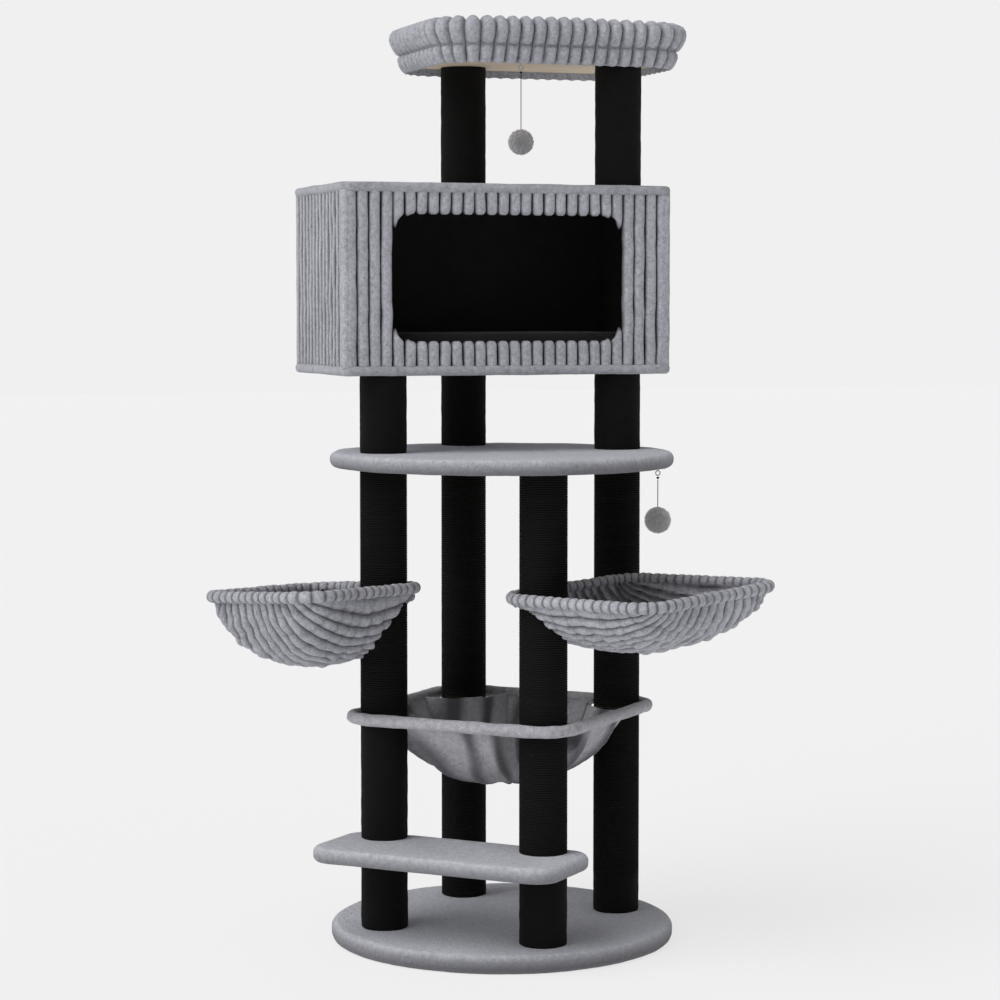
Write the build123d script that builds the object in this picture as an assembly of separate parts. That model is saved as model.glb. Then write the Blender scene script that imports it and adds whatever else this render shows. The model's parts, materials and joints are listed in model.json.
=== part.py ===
from build123d import *
import os
from math import cos, radians, sin, sqrt

# Cat tree. Millimetres, +Z up, origin on the floor at the centre of the base's underside.
# +X points to the right post, +Y to the back post.

# base and platform
disc_radius = 300.0
base_top = 32.0
cover_thickness = 2.0
cover_hem = 25.0
disc_edge = 12.0
platform_bottom = 831.0
platform_top = 857.5
platform_board_bottom = platform_bottom + cover_thickness

# posts: a square with one post on each side of the centre
post_reach = 215.7
post_radius = 41.1
tube_radius = 36.0
tube_wall = 3.5
wrap_clearance = 0.2
joint_gap = 1.0
plug_thickness = 14.0
stud_radius = 4.0
stud_hole_radius = 4.3
stud_length = 56.0
bolt_head_radius = 9.0
bolt_head_height = 5.0
bolt_length = 45.0
bolt_hole_radius = 4.6

# step between the left and front posts, laid out along the line that joins them
step_bottom = 162.0
step_top = 189.0
step_length = 465.0
step_width = 187.0
step_centre_across = -201.5
step_corner = 45.0
step_edge = 11.0

# hammocks
rim_radius = 10.5
wire_radius = 3.0
wire_clearance = 0.2
rim_turn = 54.0
clamp_radius = 33.0
clamp_thickness = 1.8
clamp_arm_width = 14.0
pouch_wall = 4.0
pouch_post_gap = 47.0
slot_play = 0.6
centre_rim_height = 401.0
centre_pouch_bottom = 281.0
side_rim_height = 622.5
left_pouch_bottom = 496.0
right_pouch_bottom = 527.0
left_corners = [(-215.7, 0.0), (-293.7, 142.9), (-452.3, 49.1), (-374.6, -109.5)]
right_corners = [(0.0, -215.7), (102.0, -416.3), (323.4, -283.8), (206.7, -110.5)]
left_slope = (0.0202, -0.066)
right_slope = (0.040, 0.0)
left_clamp_angle = 17.0
right_clamp_angle = 120.0

# house
house_width = 600.0
house_front = -45.0
house_back = 272.0
house_bottom = 991.0
house_top = 1320.0
house_corner = 22.0
panel = 12.0
fleece = 9.0
skin_band = 3.0
opening_width = 430.0
opening_bottom = 1050.0
opening_top = 1266.0
opening_corner = 35.0
mat_thickness = 50.0
mat_inset = 6.0
mat_gap = 0.5
mat_corner = 24.0
mat_edge = 15.0
screw_radius = 2.0
screw_length = 36.0
screw_inset = 60.0

# perch
perch_centre = (103.0, 111.0)
perch_width = 434.0
perch_depth = 320.0
perch_corner = 70.0
perch_lip = 7.0
perch_lip_bottom = 1525.0
perch_board_bottom = 1538.0
perch_board_thickness = 12.0
perch_top = 1605.0
bolster_bulge = 27.0
bolster_inset = 34.0
pad_thickness = 26.0

# toys
pompom_radius = 21.5
toy_cord_radius = 0.75
knot_radius = 3.0
eye_wire = 1.0
eye_radius = 4.0
knot_clearance = 0.4
pompom_flat = 0.3
collar_radius = 3.0
collar_height = 1.2
shank_length = 3.0
shank_bite = 0.4
upper_toy = (70.0, 100.0)
upper_pompom_height = 1400.0
lower_toy = (224.8, -170.0)
lower_pompom_height = 743.0

posts = {
    "left_post": (-post_reach, 0.0),
    "back_post": (0.0, post_reach),
    "front_post": (0.0, -post_reach),
    "right_post": (post_reach, 0.0),
}

# each post's segments: bottom, top and the wraps on it as (node, bottom, top)
segments = {
    "left_post": [
        (base_top, step_bottom), (step_top, centre_rim_height - joint_gap),
        (centre_rim_height + joint_gap, side_rim_height - joint_gap),
        (side_rim_height + joint_gap, platform_board_bottom), (platform_top, house_bottom),
    ],
    "front_post": [
        (base_top, step_bottom), (step_top, centre_rim_height - joint_gap),
        (centre_rim_height + joint_gap, side_rim_height - joint_gap),
        (side_rim_height + joint_gap, platform_board_bottom),
    ],
    "back_post": [
        (base_top, centre_rim_height - joint_gap), (centre_rim_height + joint_gap, platform_board_bottom),
        (platform_top, house_bottom), (house_top, perch_board_bottom),
    ],
    "right_post": [
        (base_top, centre_rim_height - joint_gap), (centre_rim_height + joint_gap, platform_board_bottom),
        (platform_top, house_bottom), (house_top, perch_board_bottom),
    ],
}

foot_wrap_top = 99.0
wraps = {
    "left_post_foot_plush": ("left_post", [(base_top, step_bottom)]),
    "left_post_lower_plush": ("left_post", [(step_top, centre_rim_height - joint_gap)]),
    "left_post_sisal": ("left_post", [
        (centre_rim_height + joint_gap, side_rim_height - joint_gap),
        (side_rim_height + joint_gap, platform_board_bottom)]),
    "left_post_upper_plush": ("left_post", [(platform_top, house_bottom)]),
    "front_post_foot_plush": ("front_post", [(base_top, step_bottom)]),
    "front_post_sisal": ("front_post", [
        (step_top, centre_rim_height - joint_gap),
        (centre_rim_height + joint_gap, side_rim_height - joint_gap),
        (side_rim_height + joint_gap, platform_board_bottom)]),
    "back_post_sisal": ("back_post", [
        (base_top, centre_rim_height - joint_gap), (centre_rim_height + joint_gap, platform_board_bottom)]),
    "back_post_upper_plush": ("back_post", [(platform_top, house_bottom)]),
    "back_post_perch_plush": ("back_post", [(house_top, perch_board_bottom)]),
    "right_post_foot_plush": ("right_post", [(base_top, foot_wrap_top)]),
    "right_post_sisal": ("right_post", [
        (foot_wrap_top, centre_rim_height - joint_gap), (centre_rim_height + joint_gap, platform_board_bottom)]),
    "right_post_upper_plush": ("right_post", [(platform_top, house_bottom)]),
    "right_post_perch_plush": ("right_post", [(house_top, perch_board_bottom)]),
}


def save(name, shape):
    export_step(shape, f"parts/{name}.step")


def group(solids):
    return Compound(children=list(solids))


def cylinder(x, y, bottom, top, radius):
    return Pos(x, y, (bottom + top) / 2) * Cylinder(radius, top - bottom)


def ring(x, y, bottom, top, inner, outer):
    return cylinder(x, y, bottom, top, outer) - cylinder(x, y, bottom - 1, top + 1, inner)


def roundedSlab(width, depth, bottom, top, corner):
    return Pos(0, 0, bottom) * extrude(RectangleRounded(width, depth, corner), top - bottom)


def boltHoles(shape, spots, radius=bolt_hole_radius):
    for x, y in spots:
        shape = shape - cylinder(x, y, -10, 2000, radius)
    return shape


def discBoard(bottom, top):
    board = cylinder(0, 0, bottom + cover_thickness, top - cover_thickness, disc_radius - cover_thickness)
    return fillet(board.edges().filter_by(GeomType.CIRCLE), disc_edge - cover_thickness)


def discCover(bottom, top):
    outer = cylinder(0, 0, bottom, top, disc_radius)
    outer = fillet(outer.edges().filter_by(GeomType.CIRCLE), disc_edge)
    return outer - discBoard(bottom, top)


def makeBase():
    # the cover goes all the way round the board, with a recess for each bolt's head
    spots = list(posts.values())
    recess_top = cover_thickness + bolt_head_height + 1
    board = boltHoles(discBoard(0, base_top), spots)
    cover = boltHoles(discCover(0, base_top), spots)
    for x, y in spots:
        recess = cylinder(x, y, -1, recess_top, bolt_head_radius + 1)
        board = board - recess
        cover = cover - recess
    save("base_board", board)
    save("base_cover", cover)


def makePlatform():
    # the posts' ends stand on the board inside the cover's hem
    spots = list(posts.values())
    save("platform_board", boltHoles(discBoard(platform_bottom, platform_top), spots))
    mouth = cylinder(0, 0, platform_bottom - 1, platform_board_bottom, disc_radius - cover_hem)
    save("platform_cover", boltHoles(discCover(platform_bottom, platform_top) - mouth, spots))


def stepFrame(shape):
    return Rot(0, 0, -45) * Pos(0, step_centre_across, 0) * shape


def makeStep():
    spots = [posts["left_post"], posts["front_post"]]
    inner_length = step_length - 2 * cover_thickness
    inner_width = step_width - 2 * cover_thickness
    board = roundedSlab(inner_length, inner_width, step_bottom + cover_thickness,
                        step_top - cover_thickness, step_corner - cover_thickness)
    board = fillet(board.faces().sort_by(Axis.Z)[-1].edges(), step_edge - cover_thickness)
    board = fillet(board.faces().sort_by(Axis.Z)[0].edges(), step_edge - cover_thickness)
    outer = roundedSlab(step_length, step_width, step_bottom, step_top, step_corner)
    outer = fillet(outer.faces().sort_by(Axis.Z)[-1].edges(), step_edge)
    outer = fillet(outer.faces().sort_by(Axis.Z)[0].edges(), step_edge)
    save("step_board", boltHoles(stepFrame(board), spots))
    save("step_cover", boltHoles(stepFrame(outer) - stepFrame(board), spots))


def makePosts():
    plugs = []
    studs = []
    for post, (x, y) in posts.items():
        tubes = []
        for bottom, top in segments[post]:
            tubes.append(ring(x, y, bottom, top, tube_radius - tube_wall, tube_radius))
            for end in (bottom, top - plug_thickness):
                plugs.append(ring(x, y, end, end + plug_thickness, stud_hole_radius,
                                  tube_radius - tube_wall - wrap_clearance))
        save(f"{post}_tubes", group(tubes))
        for (_, low_top), (high_bottom, _) in zip(segments[post], segments[post][1:]):
            if low_top == house_bottom and high_bottom == house_top:
                continue
            middle = (low_top + high_bottom) / 2
            studs.append(cylinder(x, y, middle - stud_length / 2, middle + stud_length / 2, stud_radius))
    save("post_end_plugs", group(plugs))
    save("joining_studs", group(studs))
    for name, (post, spans) in wraps.items():
        x, y = posts[post]
        save(name, group([ring(x, y, low, high, tube_radius + wrap_clearance, post_radius)
                          for low, high in spans]))


def bolt(x, y, head_bottom):
    head = cylinder(x, y, head_bottom, head_bottom + bolt_head_height, bolt_head_radius)
    return head + cylinder(x, y, head_bottom + 1, head_bottom + bolt_length, stud_radius)


def flippedBolt(x, y, head_top):
    head = cylinder(x, y, head_top - bolt_head_height, head_top, bolt_head_radius)
    return head + cylinder(x, y, head_top - bolt_length, head_top - 1, stud_radius)


def makeBolts():
    # four bolts up from the base, then down through the house roof's and the perch's boards
    bolts = [bolt(x, y, cover_thickness + 1) for x, y in posts.values()]
    for post in ("back_post", "right_post"):
        x, y = posts[post]
        board_top = perch_board_bottom + perch_board_thickness
        bolts.append(flippedBolt(x, y, board_top + bolt_head_height))
        bolts.append(bolt(x, y, house_top - skin_band - panel - bolt_head_height))
    for post in ("left_post", "back_post", "right_post"):
        x, y = posts[post]
        bolts.append(flippedBolt(x, y, house_bottom + skin_band + panel + bolt_head_height))
    save("board_bolts", group(bolts))


def loopPath(corners):
    # straight runs joined by a quarter-like turn round each corner
    count = len(corners)
    edges = []
    ends = []
    for i in range(count):
        ax, ay = corners[i]
        bx, by = corners[(i + 1) % count]
        length = sqrt((bx - ax) ** 2 + (by - ay) ** 2)
        nx = (by - ay) / length * rim_turn
        ny = -(bx - ax) / length * rim_turn
        ends.append(((ax + nx, ay + ny), (bx + nx, by + ny)))
    for i in range(count):
        start, stop = ends[i]
        edges.append(Line(start, stop))
        cx, cy = corners[(i + 1) % count]
        next_start = ends[(i + 1) % count][0]
        mx = (stop[0] + next_start[0]) / 2 - cx
        my = (stop[1] + next_start[1]) / 2 - cy
        reach = sqrt(mx * mx + my * my)
        middle = (cx + mx / reach * rim_turn, cy + my / reach * rim_turn)
        edges.append(ThreePointArc(stop, middle, next_start))
    return Wire(edges)


def sweptRound(path, radius):
    # the section stands at the start of the first straight run
    start = path.edges()[0]
    plane = Plane(origin=start @ 0, z_dir=start % 0)
    return sweep(plane * Circle(radius), path=path)


def shrunkLoop(corners, scale, turn, height):
    cx = sum(c[0] for c in corners) / len(corners)
    cy = sum(c[1] for c in corners) / len(corners)
    points = [(cx + (x - cx) * scale, cy + (y - cy) * scale) for x, y in corners]
    face = make_face(Polyline(*points, close=True))
    face = offset(face, amount=turn, kind=Kind.ARC)
    return Pos(0, 0, height) * face


def bowl(corners, height, bottom, inset):
    # sections from the rim down to the rounded floor of the pouch
    steps = [(1.0, rim_turn - inset, 0.0), (0.97, rim_turn - inset - 4, 0.28), (0.86, rim_turn - inset - 8, 0.58),
             (0.62, rim_turn - inset - 12, 0.86), (0.30, rim_turn - inset - 18, 1.0)]
    sections = [shrunkLoop(corners, scale, turn, height + (bottom - height) * drop)
                for scale, turn, drop in steps]
    return loft(sections, ruled=True)


def tilted(shape, pivot, slope, height):
    # turns a level shape at the given height about the pivot until it has the slope
    angle_about_y = -slope[0] * 57.29578
    angle_about_x = slope[1] * 57.29578
    return (Pos(pivot[0], pivot[1], height) * Rot(angle_about_x, angle_about_y, 0)
            * Pos(-pivot[0], -pivot[1], -height) * shape)


def clampPlate(x, y, height, angles):
    plate = cylinder(x, y, height - clamp_thickness / 2, height + clamp_thickness / 2, clamp_radius)
    for angle in angles:
        arm_length = rim_turn
        arm = Box(arm_length, clamp_arm_width, clamp_thickness, align=(Align.MIN, Align.CENTER, Align.CENTER))
        plate = plate + Pos(x, y, height) * Rot(0, 0, angle) * arm
    return plate - cylinder(x, y, height - 5, height + 5, stud_hole_radius)


def makeHammock(name, corners, height, bottom, slope, clamps, cut_posts):
    pivot = corners[0]
    path = loopPath(corners)
    wire = tilted(Pos(0, 0, height) * sweptRound(path, wire_radius), pivot, slope, height)
    bore = tilted(Pos(0, 0, height) * sweptRound(path, wire_radius + wire_clearance), pivot, slope, height)
    sleeve = tilted(Pos(0, 0, height) * sweptRound(path, rim_radius), pivot, slope, height) - bore
    inset = rim_radius + 0.5
    pouch = bowl(corners, height, bottom, inset) - bowl(corners, height + 1, bottom + pouch_wall, inset + pouch_wall)
    pouch = tilted(pouch, pivot, slope, height)
    plates = []
    for (x, y), angle in clamps:
        plate = clampPlate(x, y, height, [angle]) - wire
        slot_height = clamp_thickness + slot_play
        arm = Box(rim_turn + 2, clamp_arm_width + slot_play, slot_height, align=(Align.MIN, Align.CENTER, Align.CENTER))
        sleeve = sleeve - Pos(x, y, height) * Rot(0, 0, angle) * arm
        plates.append(plate.solids().sort_by(SortBy.VOLUME)[-1])
    for x, y in cut_posts:
        pouch = pouch - cylinder(x, y, bottom - 50, height + 50, pouch_post_gap)
    solids = pouch.solids().sort_by(SortBy.VOLUME)
    save(f"{name}_wire", wire)
    save(f"{name}_rim", sleeve.solids().sort_by(SortBy.VOLUME)[-1])
    save(f"{name}_pouch", solids[-1])
    save(f"{name}_clamps", group(plates))


def makeHammocks():
    square = [(-post_reach, 0.0), (0.0, -post_reach), (post_reach, 0.0), (0.0, post_reach)]
    outward = [180.0, -90.0, 0.0, 90.0]
    makeHammock("centre_hammock", square, centre_rim_height, centre_pouch_bottom, (0.0, 0.0),
                list(zip(square, outward)), square)
    makeHammock("left_hammock", left_corners, side_rim_height, left_pouch_bottom, left_slope,
                [(left_corners[0], left_clamp_angle)], left_corners[:1])
    makeHammock("right_hammock", right_corners, side_rim_height, right_pouch_bottom, right_slope,
                [(right_corners[0], right_clamp_angle)], right_corners[:1])


def houseBox(inset, bottom, top, corner):
    depth = house_back - house_front
    slab = roundedSlab(house_width - 2 * inset, depth - 2 * inset, bottom, top, corner)
    return Pos(0, (house_back + house_front) / 2, 0) * slab


def makeHouse():
    inner_bottom = house_bottom + skin_band
    inner_top = house_top - skin_band
    centre_y = (house_back + house_front) / 2
    half_width = house_width / 2 - fleece
    front = house_front + fleece
    back = house_back - fleece
    wall_bottom = inner_bottom + panel
    wall_top = inner_top - panel
    wall_height = wall_top - wall_bottom
    middle_z = (wall_top + wall_bottom) / 2
    lower_spots = [posts["left_post"], posts["back_post"], posts["right_post"]]
    upper_spots = [posts["back_post"], posts["right_post"]]
    plate = Pos(0, centre_y, 0) * Box(2 * half_width, back - front, panel)
    screw_spots = [(x, y) for x in (panel / 2 - half_width, half_width - panel / 2)
                   for y in (front + screw_inset, back - screw_inset)]
    floor = boltHoles(Pos(0, 0, inner_bottom + panel / 2) * plate, lower_spots)
    roof = boltHoles(Pos(0, 0, inner_top - panel / 2) * plate, upper_spots)
    save("house_floor", boltHoles(floor, screw_spots, screw_radius))
    save("house_roof", boltHoles(roof, screw_spots, screw_radius))
    for name, side in (("house_left_wall", -1), ("house_right_wall", 1)):
        x = side * (half_width - panel / 2)
        wall = Pos(x, centre_y, middle_z) * Box(panel, back - front, wall_height)
        save(name, boltHoles(wall, screw_spots, screw_radius))
    inner_width = 2 * half_width - 2 * panel
    save("house_back_wall", Pos(0, back - panel / 2, middle_z) * Box(inner_width, panel, wall_height))
    opening = RectangleRounded(opening_width, opening_top - opening_bottom, opening_corner)
    opening_z = (opening_top + opening_bottom) / 2
    cut_plane = Plane(origin=(0, house_front - 20, opening_z), x_dir=(1, 0, 0), z_dir=(0, 1, 0))
    front_wall = Pos(0, front + panel / 2, middle_z) * Box(inner_width, panel, wall_height)
    wide = RectangleRounded(opening_width + 2 * skin_band, opening_top - opening_bottom + 2 * skin_band,
                            opening_corner + skin_band)
    save("house_front_wall", front_wall - extrude(cut_plane * wide, 60))
    shell = houseBox(0, house_bottom, house_top, house_corner) - houseBox(
        fleece, house_bottom - 1, house_top + 1, house_corner - fleece)
    box_core = Pos(0, centre_y, (house_bottom + house_top) / 2) * Box(
        2 * half_width, back - front, house_top - house_bottom + 2)
    shell = shell - box_core
    save("house_wall_cover", shell - extrude(cut_plane * opening, 60))
    skin = Pos(0, centre_y, 0) * Box(2 * half_width, back - front, skin_band)
    save("house_roof_cover", boltHoles(Pos(0, 0, inner_top + skin_band / 2) * skin, upper_spots))
    save("house_floor_cover", boltHoles(Pos(0, 0, house_bottom + skin_band / 2) * skin, lower_spots))
    mat_width = inner_width - 2 * mat_inset
    mat_depth = back - front - 2 * panel - 2 * mat_inset
    mat = roundedSlab(mat_width, mat_depth, wall_bottom + mat_gap + bolt_head_height,
                      wall_bottom + bolt_head_height + mat_thickness, mat_corner)
    save("house_mat", Pos(0, centre_y, 0) * fillet(mat.faces().sort_by(Axis.Z)[-1].edges(), mat_edge))
    screws = []
    for x, y in screw_spots:
        screws.append(cylinder(x, y, inner_top - screw_length, inner_top, screw_radius))
        screws.append(cylinder(x, y, inner_bottom, inner_bottom + screw_length, screw_radius))
    save("house_screws", group(screws))


def perchSlab(grow, bottom, top):
    slab = roundedSlab(perch_width + 2 * grow, perch_depth + 2 * grow, bottom, top, perch_corner + grow)
    return Pos(perch_centre[0], perch_centre[1], 0) * slab


def perchSection(grow, height):
    rectangle = RectangleRounded(perch_width + 2 * grow, perch_depth + 2 * grow, perch_corner + grow)
    return Pos(perch_centre[0], perch_centre[1], height) * rectangle


def makePerch():
    spots = [posts["back_post"], posts["right_post"]]
    board_top = perch_board_bottom + perch_board_thickness
    save("perch_board", boltHoles(perchSlab(-perch_lip - 0.2, perch_board_bottom, board_top), spots))
    outer_steps = [(0, perch_lip_bottom), (7, 1538), (12, 1556), (19, 1566), (bolster_bulge, 1585),
                   (24, 1599), (8, perch_top)]
    outer = loft([perchSection(grow, height) for grow, height in outer_steps], ruled=True)
    core = perchSlab(-perch_lip, perch_lip_bottom - 1, board_top + 0.3)
    well = loft([perchSection(-bolster_inset, board_top - 1), perchSection(-bolster_inset, 1580),
                 perchSection(-bolster_inset + 14, perch_top + 1)], ruled=True)
    save("perch_bolster", outer - core - well)
    pad = perchSlab(-bolster_inset - 1.0, board_top + 0.3, board_top + pad_thickness)
    pad = fillet(pad.faces().sort_by(Axis.Z)[-1].edges(), 10)
    for x, y in spots:
        pad = pad - cylinder(x, y, board_top, board_top + bolt_head_height + 1, bolt_head_radius + 1)
    save("perch_pad", pad)


def makeToy(name, spot, ceiling, pompom_height):
    # a screw eye under the board, a knot in its ring, then the cord and the pompom
    x, y = spot
    ring_centre = ceiling - shank_length - eye_radius
    eye = Pos(x, y, ring_centre) * Rot(90, 0, 0) * Torus(eye_radius, eye_wire)
    shank = cylinder(x, y, ceiling - shank_length - shank_bite, ceiling, eye_wire)
    collar = cylinder(x, y, ceiling - collar_height, ceiling, collar_radius)
    pivot = ring_centre - eye_radius - eye_wire - knot_clearance - knot_radius
    knot = Pos(x, y, pivot) * Sphere(knot_radius)
    cord_top = pivot - knot_radius - knot_clearance
    ball_top = pompom_height + pompom_radius - pompom_flat
    cord = cylinder(x, y, ball_top, cord_top, toy_cord_radius)
    ball = Pos(x, y, pompom_height) * Sphere(pompom_radius)
    flat = cylinder(x, y, ball_top, ball_top + 1, pompom_radius)
    save(f"{name}_eye", eye + shank + collar)
    save(f"{name}_knot", knot)
    save(f"{name}_cord", cord)
    save(f"{name}_pompom", ball - flat)
    print(name, "pivot", pivot, "cord length", cord_top - ball_top)


os.makedirs("parts", exist_ok=True)
makeBase()
makePlatform()
makeStep()
makePosts()
makeBolts()
makeHammocks()
makeHouse()
makePerch()
makeToy("upper_toy", upper_toy, perch_board_bottom, upper_pompom_height)
makeToy("lower_toy", lower_toy, platform_bottom, lower_pompom_height)
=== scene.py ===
import json
from math import asin, atan2, cos, hypot, pi, radians, sin, sqrt

import bmesh
import bpy
from mathutils import Matrix, Vector, noise


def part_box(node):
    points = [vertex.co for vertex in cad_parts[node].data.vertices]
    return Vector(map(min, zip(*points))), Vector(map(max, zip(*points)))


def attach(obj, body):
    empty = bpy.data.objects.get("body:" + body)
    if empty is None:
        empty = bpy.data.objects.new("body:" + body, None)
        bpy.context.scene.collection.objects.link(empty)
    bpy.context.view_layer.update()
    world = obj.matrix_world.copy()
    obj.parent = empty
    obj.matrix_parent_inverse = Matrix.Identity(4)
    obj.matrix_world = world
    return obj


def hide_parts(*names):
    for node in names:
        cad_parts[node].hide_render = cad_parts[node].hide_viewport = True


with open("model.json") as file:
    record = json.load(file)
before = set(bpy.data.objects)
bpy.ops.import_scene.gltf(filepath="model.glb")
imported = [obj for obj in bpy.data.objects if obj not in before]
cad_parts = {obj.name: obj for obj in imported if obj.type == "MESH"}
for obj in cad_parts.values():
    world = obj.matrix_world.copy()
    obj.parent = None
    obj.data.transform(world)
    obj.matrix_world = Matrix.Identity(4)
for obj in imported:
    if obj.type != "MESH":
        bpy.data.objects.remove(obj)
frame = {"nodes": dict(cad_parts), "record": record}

scene = bpy.context.scene
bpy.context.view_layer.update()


def low(node):
    return Vector(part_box(node)[0])


def high(node):
    return Vector(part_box(node)[1])


def middle(node):
    return (low(node) + high(node)) / 2


def setInputs(node, **values):
    # an underscore in a name stands for a space in the socket's label
    for label, value in values.items():
        node.inputs[label.replace("_", " ")].default_value = value


def newMaterial(name):
    material = bpy.data.materials.new(name)
    material.use_nodes = True
    return material, material.node_tree, material.node_tree.nodes["Principled BSDF"]


# camera, floor and light
stage = {
    "eyeDistance": 4.8661, "eyeSide": 0.0033, "eyeHeight": 1.1117, "turn": radians(18.843),
    "pitch": radians(4.0), "lens": 100.4, "sensor": 36.0, "floorReach": 30.0,
    "floorTone": 0.20, "floorGlow": 0.703, "floorRoughness": 0.9, "floorSpecular": 0.1,
    "worldGlow": 0.38, "backTone": 0.871,
    # each sun: where it shines from, its strength and its spread in degrees
    "suns": {"topSun": ((-0.70, -0.15, 1.0), 1.45, 45), "leftSun": ((-0.80, -0.42, 0.45), 0.60, 35)},
}


def makeCamera():
    camera = bpy.data.cameras.new("mainCamera")
    camera.lens = stage["lens"]
    camera.sensor_width = stage["sensor"]
    camera.dof.use_dof = False
    eye = bpy.data.objects.new("mainCamera", camera)
    turn = stage["turn"]
    across = Vector((cos(turn), -sin(turn), 0))
    ahead = Vector((sin(turn), cos(turn), 0))
    raised = Vector((0, 0, stage["eyeHeight"]))
    eye.location = -ahead * stage["eyeDistance"] - across * stage["eyeSide"] + raised
    eye.rotation_euler = (pi / 2 - stage["pitch"], 0, -turn)
    scene.collection.objects.link(eye)
    scene.camera = eye


def makeFloor():
    mesh = bpy.data.meshes.new("studioFloor")
    reach = stage["floorReach"]
    corners = [(-reach, -reach, 0), (reach, -reach, 0), (reach, reach, 0), (-reach, reach, 0)]
    mesh.from_pydata(corners, [], [(0, 1, 2, 3)])
    floor = bpy.data.objects.new("studioFloor", mesh)
    scene.collection.objects.link(floor)
    paint, _, shader = newMaterial("studioPaint")
    setInputs(shader, Base_Color=(stage["floorTone"],) * 3 + (1,), Emission_Color=(1, 1, 1, 1),
              Emission_Strength=stage["floorGlow"], Roughness=stage["floorRoughness"],
              Specular_IOR_Level=stage["floorSpecular"])
    mesh.materials.append(paint)


def makeWorld():
    # one light for the object and another, plain tone behind it
    world = bpy.data.worlds.new("studioWorld")
    world.use_nodes = True
    tree = world.node_tree
    glow = tree.nodes["Background"]
    setInputs(glow, Color=(1, 1, 1, 1), Strength=stage["worldGlow"])
    seen = tree.nodes.new("ShaderNodeBackground")
    setInputs(seen, Color=(stage["backTone"],) * 3 + (1,))
    path = tree.nodes.new("ShaderNodeLightPath")
    choose = tree.nodes.new("ShaderNodeMixShader")
    tree.links.new(path.outputs["Is Camera Ray"], choose.inputs[0])
    tree.links.new(glow.outputs[0], choose.inputs[1])
    tree.links.new(seen.outputs[0], choose.inputs[2])
    tree.links.new(choose.outputs[0], tree.nodes["World Output"].inputs["Surface"])
    scene.world = world
    scene.view_settings.view_transform = "Standard"


def makeSuns():
    # very soft suns, so that the floor has one tone out to the horizon
    for name, (source, power, spread) in stage["suns"].items():
        data = bpy.data.lights.new(name, "SUN")
        data.energy = power
        data.angle = radians(spread)
        light = bpy.data.objects.new(name, data)
        light.rotation_euler = Vector(source).to_track_quat("Z", "Y").to_euler()
        scene.collection.objects.link(light)


makeCamera()
makeFloor()
makeWorld()
makeSuns()
print("stage set")


def newTree(name, kind, inputs, outputs):
    # a node group with its sockets and its two end nodes
    tree = bpy.data.node_groups.new(name, kind)
    for label, socketKind, value in inputs:
        socket = tree.interface.new_socket(label, in_out="INPUT", socket_type="NodeSocket" + socketKind)
        if value is not None:
            socket.default_value = value
    for label, socketKind in outputs:
        tree.interface.new_socket(label, in_out="OUTPUT", socket_type="NodeSocket" + socketKind)
    return tree, tree.nodes.new("NodeGroupInput"), tree.nodes.new("NodeGroupOutput")


def noiseNode(tree, vector, scale, detail, rough):
    node = tree.nodes.new("ShaderNodeTexNoise")
    setInputs(node, Scale=scale, Detail=detail, Roughness=rough)
    tree.links.new(vector, node.inputs["Vector"])
    return node


def mathNode(tree, operation, a, b):
    node = tree.nodes.new("ShaderNodeMath")
    node.operation = operation
    for socket, value in zip(node.inputs, (a, b)):
        if isinstance(value, (int, float)):
            socket.default_value = value
        else:
            tree.links.new(value, socket)
    return node.outputs[0]


def clampNode(tree, value):
    clamp = tree.nodes.new("ShaderNodeClamp")
    tree.links.new(value, clamp.inputs["Value"])
    return clamp.outputs[0]


def mixColour(tree, factor, a, b):
    node = tree.nodes.new("ShaderNodeMix")
    node.data_type = "RGBA"
    tree.links.new(factor, node.inputs["Factor"])
    tree.links.new(a, node.inputs["A"])
    tree.links.new(b, node.inputs["B"])
    return node.outputs["Result"]


def makePileGroup():
    # short cut pile: brushed patches, a fine nap and a slow drift of tone
    group, enter, leave = newTree("plushPile", "ShaderNodeTree", [
        ("Colour", "Color", (0.4, 0.4, 0.43, 1)), ("Shade", "Color", (0.25, 0.25, 0.28, 1)),
        ("Nap Scale", "Float", 900.0), ("Brush Scale", "Float", 55.0), ("Drift Scale", "Float", 7.0),
    ], [("Colour", "Color"), ("Height", "Float"), ("Roughness", "Float")])
    place = group.nodes.new("ShaderNodeTexCoord").outputs["Object"]
    grain = {}
    for label, detail, rough in (("Nap", 2.0, 0.55), ("Brush", 4.0, 0.6), ("Drift", 2.0, 0.55)):
        node = noiseNode(group, place, 1.0, detail, rough)
        group.links.new(enter.outputs[label + " Scale"], node.inputs["Scale"])
        grain[label] = node.outputs["Fac"]
    napPart = mathNode(group, "MULTIPLY", grain["Nap"], 1.1)
    brushPart = mathNode(group, "MULTIPLY", grain["Brush"], 1.5)
    driftPart = mathNode(group, "MULTIPLY", grain["Drift"], 0.6)
    total = mathNode(group, "ADD", mathNode(group, "ADD", napPart, brushPart), driftPart)
    factor = clampNode(group, mathNode(group, "SUBTRACT", total, 1.1))
    colour = mixColour(group, factor, enter.outputs["Shade"], enter.outputs["Colour"])
    height = mathNode(group, "ADD", napPart, mathNode(group, "MULTIPLY", brushPart, 0.8))
    rough = mathNode(group, "ADD", mathNode(group, "MULTIPLY", grain["Brush"], 0.15), 0.8)
    for label, value in (("Colour", colour), ("Height", height), ("Roughness", rough)):
        group.links.new(value, leave.inputs[label])
    return group


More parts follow.
